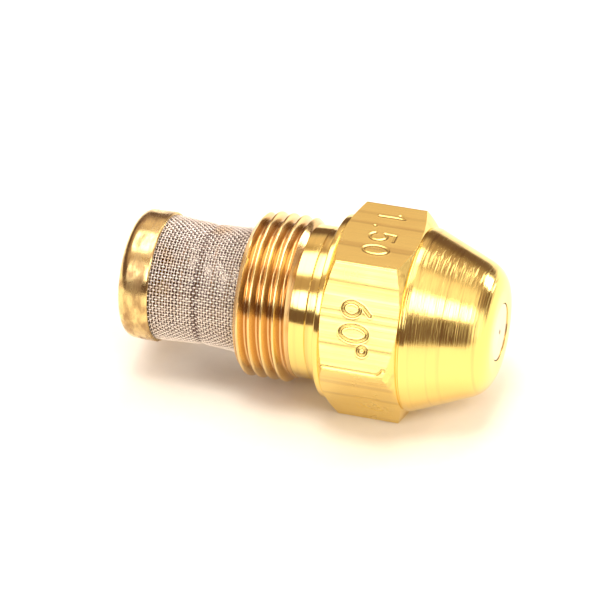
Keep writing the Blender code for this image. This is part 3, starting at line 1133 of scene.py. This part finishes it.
@dataclass
class SwirlSet:
    """The distributor and the retainer screw behind it."""

    head_radius: float = 2.70
    head: float = 1.40
    stem_radius: float = 2.00
    stem: float = 0.90
    cone_tip: float = 0.77
    cone_setback: float = 0.05
    slots: int = 4
    slot_width: float = 0.35
    screw_pitch: float = INCH / 32
    thread_shape: tuple[Point, ...] = ((0.0, 0), (0.125, 0), (0.5, 1), (0.6, 1))
    relief: float = 2.10
    relief_depth: float = 0.75
    screw_bevel: float = 0.25
    way_radius: float = 1.40
    way_web: float = 0.80
    ports: int = 4
    port_radius: float = 0.55
    driver_width: float = 1.20
    driver_depth: float = 1.50
    segments: int = 144

    def build_distributor(self, effects: Effects) -> None:
        """Args:
            effects: the shared node groups.
        """
        span = Span.of("swirl_distributor")
        head_rear = span.rear + self.stem
        cone_rear = head_rear + self.head - self.cone_setback
        outline = soften(
            [
                (span.rear, AXIS_HOLE, 0),
                (span.rear, self.stem_radius, 0.12),
                (head_rear, self.stem_radius, 0.1),
                (head_rear, self.head_radius, 0.12),
                (cone_rear, self.head_radius, 0.08),
                (span.front, self.cone_tip, 0.05),
                (span.front, AXIS_HOLE, 0),
            ]
        )
        piece = solid("swirl_distributor_fine", turn(outline, self.segments), STAINLESS, effects)
        cutter = bmesh.new()
        slant = (self.head_radius - self.cone_tip) * math.sqrt(2)
        middle_x = (span.front + cone_rear) / 2
        middle = Vector((middle_x, self.cone_tip / 2, (self.head_radius + self.cone_tip) / 2)) * MM
        spot = Matrix.Translation(middle) @ Matrix.Rotation(math.pi / 4, 4, "Y")
        size = Vector((slant + 2 * self.slot_width, self.slot_width, 2 * self.slot_width)) * MM
        for i in range(self.slots):
            matrix = about_axis(i / self.slots) @ spot @ Matrix.Diagonal((*size, 1))
            bmesh.ops.create_cube(cutter, size=1, matrix=matrix)
        cut_away(piece, cutter)
        settle(piece, "distributor", "swirl_distributor")

    def build_screw(self, effects: Effects) -> None:
        """Args:
            effects: the shared node groups.
        """
        span = Span.of("retainer_screw")
        relief_rear = span.front - self.relief
        way_front = span.front - self.way_web
        depth = THREAD_DEPTH * self.screw_pitch
        turns = int((relief_rear - span.rear) / self.screw_pitch) - 1
        first = span.rear + 0.6 * self.screw_pitch
        crests = []
        for i in range(turns):
            start = first + i * self.screw_pitch
            for share, below in self.thread_shape:
                crests.append((start + share * self.screw_pitch, span.radius - below * depth))
        relief = span.radius - self.relief_depth
        nose = [(span.front, 0.5, 0), (span.front, relief, 0.15), (relief_rear, relief, 0)]
        tail = [
            (span.rear + self.screw_bevel, span.radius, 0),
            (span.rear, span.radius - self.screw_bevel, 0.03),
            (span.rear, self.way_radius, 0.1),
            (way_front, self.way_radius, 0.1),
            (way_front, AXIS_HOLE, 0),
        ]
        land = (span.rear + self.screw_bevel + 0.05, span.radius)
        outline = [(span.front, AXIS_HOLE), *soften(nose), *reversed(crests), land, *soften(tail)]
        piece = solid("retainer_screw_fine", turn(outline, self.segments), SCREW_BRASS, effects)
        cutter = bmesh.new()
        inner = self.way_radius / 2
        middle = Matrix.Translation(
            Vector(((relief_rear + way_front) / 2, 0, (inner + span.radius) / 2)) * MM
        )
        for i in range(self.ports):
            bmesh.ops.create_cone(
                cutter, cap_ends=True, segments=32, radius1=self.port_radius * MM,
                radius2=self.port_radius * MM, depth=(span.radius - inner) * MM,
                matrix=about_axis(i / self.ports) @ middle,
            )
        cut_away(piece, cutter)
        cutter = bmesh.new()
        size = Vector((2 * self.driver_depth, 3 * span.radius, self.driver_width)) * MM
        spot = Matrix.Translation((span.rear * MM, 0, 0))
        bmesh.ops.create_cube(cutter, size=1, matrix=about_axis(0) @ spot @ Matrix.Diagonal((*size, 1)))
        cut_away(piece, cutter)
        settle(piece, "retainer", "retainer_screw")


# ---------------------------------------------------------------- strainer


@dataclass
class Strainer:
    """The push-in strainer: ferrule, woven wire sleeve, support coil and end cap.

    mesh_count is wires to the inch, bends the points from one crossing to the next, overhang how many
    crossings the lengthwise wires run past the last ring, and the waves are shares of a wire's radius.
    """

    mesh_count: float = 96.0
    wire_radius: float = 0.067
    wire_sides: int = 5
    bends: int = 3
    overhang: float = 0.4
    warp_wave: float = 1.55
    ring_wave: float = 0.25
    float_flatness: float = 1.4
    # How much more painted shade the cloth's crease gets.
    crease_shade: float = 0.55
    sway: float = 0.03
    waist_depth: float = 0.15
    waist_place: float = 0.50
    crease_depth: float = 0.17
    crease_width: float = 0.26
    ovality: float = 0.03
    ferrule_skirt: float = 1.20
    ferrule_wall: float = 0.80
    shoulder_gap: float = 0.05
    cap_wall: float = 0.22
    cap_rounding: float = 1.00
    cap_cell: float = 0.14
    coil_radius: float = 0.22
    coil_turns: float = 3.5
    coil_sides: int = 14
    coil_points: int = 360
    cloth_wall: float = 0.25
    skirt_gap: float = 0.03
    coil_gap: float = 0.05
    segments: int = 192
    mesh: Span = field(default_factory=lambda: Span.of("strainer_mesh"))
    cap: Span = field(default_factory=lambda: Span.of("strainer_end_cap"))

    def cloth_radius(self, x: np.ndarray, angle: np.ndarray) -> np.ndarray:
        """The middle of the cloth's thickness, with its waist, its crease and its slight ovality.

        Args:
            x: places along the axis.
            angle: places round it.

        Returns:
            The radius at each place.
        """
        share = ((BODY.rear - x) / (BODY.rear - self.cap.front)).clip(0, 1)
        waist = self.waist_depth * np.sin(math.pi * share) ** 2
        held = np.sin(math.pi * share)
        oval = (
            self.ovality * np.cos(2 * angle + 0.9)
            + 0.02 * np.cos(5 * angle)
            + 0.012 * np.cos(9 * angle + x)
        )
        middle = self.mesh.radius - 2 * self.wire_radius
        return middle - waist + (oval - self.crease_depth * self.crease(x, angle)) * held

    def crease(self, x: np.ndarray, angle: np.ndarray) -> np.ndarray:
        """How far into the cloth's crease each place is, from 0 to 1."""
        line = BODY.rear + (self.cap.front - BODY.rear) * (self.waist_place + 0.02 * np.sin(angle + 0.6))
        return np.exp(-(((x - line) / self.crease_width) ** 2)) * (0.7 + 0.3 * np.sin(2 * angle + 0.4))

    def cloth_wires(self, rings: bool) -> tuple[Skin, np.ndarray]:
        """Half of the cloth's wires, each over and under the other half in turn.

        Args:
            rings: whether to lay the rings or the lengthwise wires.

        Returns:
            The wires and each point's height in the cloth's thickness, from -1 to 1, lowered in the
            crease, which sets the painted shade between the wires.
        """
        pitch = INCH / self.mesh_count
        around = 2 * round(math.pi * self.mesh.radius / pitch)
        length = self.mesh.front - self.mesh.rear
        step = length / int(length / pitch)
        ring_x = np.arange(self.mesh.rear + step / 2, self.mesh.front, step)
        skin, shade_heights = Skin(), []
        side = np.cos(np.arange(self.wire_sides) * TAU / self.wire_sides) / 2
        for i in range(len(ring_x) if rings else around):
            if rings:
                crossing = np.arange(around * self.bends) / self.bends
                angle = TAU * crossing / around
                x = ring_x[i] + self.sway * np.sin(2 * angle + i)
            else:
                last = len(ring_x) - 1 + self.overhang
                crossing = np.linspace(-self.overhang, last, len(ring_x) * self.bends + 1)
                x = ring_x[0] + crossing * step
                angle = TAU * i / around + self.sway / self.mesh.radius * np.sin(0.8 * x + 1.7 * i)
            over = np.tanh(self.float_flatness * np.cos(math.pi * (crossing + i % 2)))
            over = over / math.tanh(self.float_flatness) * (-self.ring_wave if rings else self.warp_wave)
            radius = self.cloth_radius(x, angle) + self.wire_radius * over
            path = round_axis(x, radius, angle)
            if rings:
                longer = np.concatenate([path[-1:], path, path[:1]])
                skin.add(tube(longer, self.wire_radius, self.wire_sides)[1:-1], (True, True))
            else:
                skin.add(tube(path, self.wire_radius, self.wire_sides))
            # Lower heights get more painted shade, and the crease is lowered so that it is painted
            # darker.
            height = over / 2 - self.crease_shade * self.crease(x, angle)
            shade_heights.append((height[:, None] + side).ravel())
        return skin, np.concatenate(shade_heights)

    def build_cloth(self, effects: Effects) -> None:
        """Args:
            effects: the shared node groups.
        """
        material = CLOTH_WIRE.material(effects)
        for rings, name in ((False, "strainer_cloth_warp"), (True, "strainer_cloth_weft")):
            skin, shade_heights = self.cloth_wires(rings)
            mesh = skin.mesh(name)
            # This attribute drives the painted shade between the wires.
            mesh.attributes.new(CLOTH_WIRE.gap_shade_attribute, "FLOAT", "POINT").data.foreach_set("value", shade_heights)
            mesh.flip_normals()
            piece = place(mesh, [material], sharp=180)
            settle(piece, "strainer", "strainer_mesh")

    def build_ferrule(self, effects: Effects) -> None:
        """Args:
            effects: the shared node groups.
        """
        span = Span.of("strainer_ferrule")
        skirt = self.mesh.radius - self.cloth_wall - self.skirt_gap
        inner = skirt - self.ferrule_wall
        shoulder = span.rear + self.ferrule_skirt + self.shoulder_gap
        seam = span.rear + 0.4
        outline = soften(
            [
                (seam, inner, 0),
                (span.rear, inner, 0.1),
                (span.rear, skirt, 0.1),
                (shoulder, skirt, 0.03),
                (shoulder, span.radius, 0.1),
                (span.front, span.radius, 0.2),
                (span.front, inner, 0.2),
                (seam, inner, 0),
            ]
        )
        ferrule = solid("strainer_ferrule_fine", turn(outline, self.segments), SCREW_BRASS, effects)
        settle(ferrule, "strainer", "strainer_ferrule")

    def build_coil(self, effects: Effects) -> None:
        """Args:
            effects: the shared node groups.
        """
        span = Span.of("strainer_support_coil")
        share = np.linspace(0, 1, self.coil_points)
        angle = TAU * self.coil_turns * share
        length = span.front - span.rear - 2 * self.coil_radius
        x = span.rear + self.coil_radius + length * share
        radius = self.mesh.radius - self.cloth_wall - self.coil_radius - self.coil_gap
        path = round_axis(x, radius, angle)
        wire = tube(path, self.coil_radius, self.coil_sides)
        ends = [np.broadcast_to(path[end], (1, self.coil_sides, 3)) for end in (0, -1)]
        closed = np.concatenate([ends[0], wire, ends[1]])
        coil = solid("strainer_coil_fine", closed, BRONZE_WIRE, effects, sharp=50)
        settle(coil, "strainer", "strainer_support_coil")

    def build_cap(self, effects: Effects) -> None:
        """Args:
            effects: the shared node groups.
        """
        rear, front, outer = self.cap.rear, self.cap.front, self.cap.radius
        inner = outer - self.cap_wall
        floor = rear + self.cap_wall
        outline = soften(
            [
                (rear, AXIS_HOLE, 0),
                (rear, outer, self.cap_rounding),
                (front - 0.10, outer, 0.1),
                (front, outer - 0.06, 0.04),
                (front, inner, 0.04),
                (floor, inner, self.cap_rounding - self.cap_wall),
                (floor, AXIS_HOLE, 0),
            ],
            steps=8,
        )
        grid = self._dent(turn(self._divide(outline, self.cap_cell), 2 * self.segments))
        cap = solid("strainer_cap_fine", grid, CAP_BRASS, effects)
        settle(cap, "strainer", "strainer_end_cap")

    @staticmethod
    def _divide(outline: Sequence[Point], longest: float) -> list[Point]:
        """Adds points to an outline, so that no stretch of it is longer than a length.

        Args:
            outline: its (x, radius) points.
            longest: the longest stretch allowed.

        Returns:
            The points, with the new ones between them.
        """
        points = [outline[0]]
        for start, end in zip(outline, outline[1:]):
            pieces = max(1, math.ceil(math.dist(start, end) / longest))
            points += map(tuple, np.linspace(start, end, pieces + 1)[1:])
        return points

    def _dent(self, grid: np.ndarray) -> np.ndarray:
        """Presses small dents and one nick into the cap's wall. Each is a place, a size and a depth.

        Args:
            grid: the cap's points.

        Returns:
            The points, pressed in a little towards the axis.
        """
        x, y, z = grid[..., 0], grid[..., 1], grid[..., 2]
        radius = np.hypot(y, z)
        angle = np.arctan2(z, y)
        middle = (self.cap.rear + self.cap.front) / 2
        press = np.zeros_like(x)
        for spot_x, spot_angle, width, turn_width, depth in (
            (middle + 0.2, -2.60, 0.5, 0.16, 0.05),
            (middle - 0.4, -2.20, 0.5, 0.22, 0.04),
            (middle + 0.3, 2.70, 0.6, 0.25, 0.05),
            (middle, 1.10, 0.7, 0.30, 0.05),
            (middle - 0.2, -0.30, 0.5, 0.25, 0.05),
            (self.cap.rear + 0.55, 3.42, 0.30, 0.022, 0.09),
        ):
            turn_away = (angle - spot_angle + math.pi) % TAU - math.pi
            press += depth * np.exp(-(((x - spot_x) / width) ** 2) - (turn_away / turn_width) ** 2)
        scale = 1 - press / np.maximum(radius, 1.0) * (radius > 0.9 * self.cap.radius)
        return np.stack([x, y * scale, z * scale], axis=-1)


# ---------------------------------------------------------------- studio


@dataclass(frozen=True)
class Lamp:
    """A soft rectangular light that faces the nozzle.

    Its turn and rise are in degrees, its distance and its two sides in metres, and its power in watts.
    """

    name: str
    turn: float
    rise: float
    distance: float
    width: float
    depth: float
    power: float
    colour: Colour = (1.0, 1.0, 1.0)
    in_reflections: bool = True


@dataclass(frozen=True)
class Glow:
    """A soft-edged round patch of brightness in the room. All its angles are in degrees."""

    turn: float
    rise: float
    inner: float
    outer: float
    strength: float
    colour: Colour = (1.0, 1.0, 1.0)


@dataclass
class Studio:
    """The floor, the lights, the world and the camera.

    The camera's distance, its aim and floor_gap are in millimetres, and floor_side is in metres.
    """

    azimuth: float = 18.49
    elevation: float = 35.48
    roll: float = -1.55
    distance: float = 300.0
    aim_right: float = -4.54
    aim_up: float = 0.65
    aim_x: float = -2.60
    lens: float = 212.0
    floor_side: float = 3.0
    floor_gap: float = 0.02
    grain_scale: float = 900.0
    grain_shade: float = 0.98
    floor_colour: Colour = (0.92, 0.87, 0.775)
    room: Colour = (0.19, 0.115, 0.095)
    lamps: tuple[Lamp, ...] = (
        Lamp("back_box", 176, 62, 0.60, 0.24, 0.24, 0.8),
        Lamp("floor_fill", 5, 79, 0.60, 0.16, 0.16, 1.1, (1.0, 0.99, 0.92), in_reflections=False),
    )
    glows: tuple[Glow, ...] = (
        Glow(180, 86, 50, 66, 0.40, (1.0, 0.72, 0.52)),
        Glow(-17, 34, 10, 15, 4.5),
        Glow(50, 46, 9, 15, 6.0),
        Glow(-100, 73, 13, 23, 3.6),
        Glow(86, 60, 10, 24, 0.9, (1.0, 0.95, 0.85)),
        Glow(138, 20, 8, 12, 12.0),
        Glow(78, 10, 16, 26, 1.7, (1.0, 0.95, 0.9)),
        Glow(-165, 38, 8, 20, 0.35, (1.0, 0.85, 0.75)),
    )

    def build(self) -> None:
        """Builds the floor, the lights, the world and the camera."""
        self._floor()
        for lamp in self.lamps:
            self._lamp(lamp)
        self._world()
        self._camera()
        bpy.context.scene.view_settings.view_transform = "Standard"

    @staticmethod
    def _towards(turn_degrees: float, rise_degrees: float) -> Vector:
        """The direction at a turn from -Y towards +X and a rise above the floor, in degrees."""
        a, e = math.radians(turn_degrees), math.radians(rise_degrees)
        return Vector((math.sin(a) * math.cos(e), -math.cos(a) * math.cos(e), math.sin(e)))

    def _floor(self) -> None:
        """Lays the floor at the CAD model's lowest point."""
        bm = bmesh.new()
        level = Matrix.Translation((0, 0, CAD_BOUNDS[0].z - self.floor_gap * MM))
        bmesh.ops.create_grid(bm, x_segments=2, y_segments=2, size=self.floor_side / 2, matrix=level)
        mesh = bpy.data.meshes.new("floor")
        bm.to_mesh(mesh)
        bm.free()
        material = bpy.data.materials.new("floor_paper")
        graph = Graph.of(material)
        coordinates = graph.add("TexCoord")
        grain = graph.add("TexNoise", {"Vector": coordinates.outputs["Object"], "Detail": 2.0})
        grain.inputs["Scale"].default_value = self.grain_scale
        shade = graph.remap(grain.outputs["Fac"], 0.2, 0.8)
        tint = tuple(self.grain_shade * c for c in self.floor_colour)
        colour = graph.blend(shade, (*tint, 1), (*self.floor_colour, 1))
        shader = graph.add("BsdfPrincipled", {"Base Color": colour, "Roughness": 0.9})
        shader.inputs["Specular IOR Level"].default_value = 0.1
        graph.add("OutputMaterial", {"Surface": shader.outputs["BSDF"]})
        floor = place(mesh, [material])

    def _lamp(self, lamp: Lamp) -> None:
        """Hangs a soft light that faces the nozzle.

        Args:
            lamp: the light to hang.
        """
        light = bpy.data.lights.new(lamp.name, "AREA")
        light.shape = "RECTANGLE"
        light.size = lamp.width
        light.size_y = lamp.depth
        light.energy = lamp.power
        light.color = lamp.colour
        holder = bpy.data.objects.new(lamp.name, light)
        away = self._towards(lamp.turn, lamp.rise)
        holder.location = away * lamp.distance
        holder.rotation_mode = "QUATERNION"
        holder.rotation_quaternion = away.to_track_quat("Z", "Y")
        holder.visible_glossy = lamp.in_reflections
        bpy.context.scene.collection.objects.link(holder)

    def _world(self) -> None:
        """A dim room with soft patches of brightness."""
        world = bpy.data.worlds.new("studio")
        bpy.context.scene.world = world
        graph = Graph.of(world)
        direction = graph.add("TexCoord").outputs["Generated"]
        colour = (*self.room, 1)
        for glow in self.glows:
            middle = tuple(self._towards(glow.turn, glow.rise))
            facing = graph.add("VectorMath", {0: direction, 1: middle}, operation="DOT_PRODUCT")
            edge, full = (math.cos(math.radians(angle)) for angle in (glow.outer, glow.inner))
            share = graph.remap(facing.outputs["Value"], edge, full)
            light = tuple(glow.strength * c for c in glow.colour)
            colour = graph.blend(share, colour, (*light, 1), "ADD")
        background = graph.add("Background", {"Color": colour})
        graph.add("OutputWorld", {"Surface": background.outputs["Background"]})

    def _camera(self) -> None:
        """Sets the camera at its fitted place."""
        back = self._towards(self.azimuth, self.elevation)
        level = Vector((math.cos(math.radians(self.azimuth)), math.sin(math.radians(self.azimuth)), 0))
        upright = back.cross(level)
        c, s = math.cos(math.radians(self.roll)), math.sin(math.radians(self.roll))
        right = c * level + s * upright
        up = c * upright - s * level
        aim = Vector((self.aim_x, 0, AXIS_HEIGHT)) + right * self.aim_right + up * self.aim_up
        camera = bpy.data.cameras.new("camera")
        camera.lens = self.lens
        camera.clip_start = 0.01
        camera.clip_end = 10
        holder = bpy.data.objects.new("camera", camera)
        spot = (aim + back * self.distance) * MM
        holder.matrix_world = Matrix(
            [(right[i], up[i], back[i], spot[i]) for i in range(3)] + [(0, 0, 0, 1)]
        )
        bpy.context.scene.collection.objects.link(holder)
        bpy.context.scene.camera = holder


def main() -> None:
    """Builds every piece in order, then the studio."""
    logging.basicConfig(level=logging.INFO, format="%(name)s: %(message)s")
    effects = Effects()
    NozzleBody().build(effects)
    OrificeTip().build(effects)
    swirl = SwirlSet()
    swirl.build_distributor(effects)
    swirl.build_screw(effects)
    strainer = Strainer()
    strainer.build_ferrule(effects)
    strainer.build_cloth(effects)
    strainer.build_coil(effects)
    strainer.build_cap(effects)
    Studio().build()


if __name__ == "__main__":
    main()
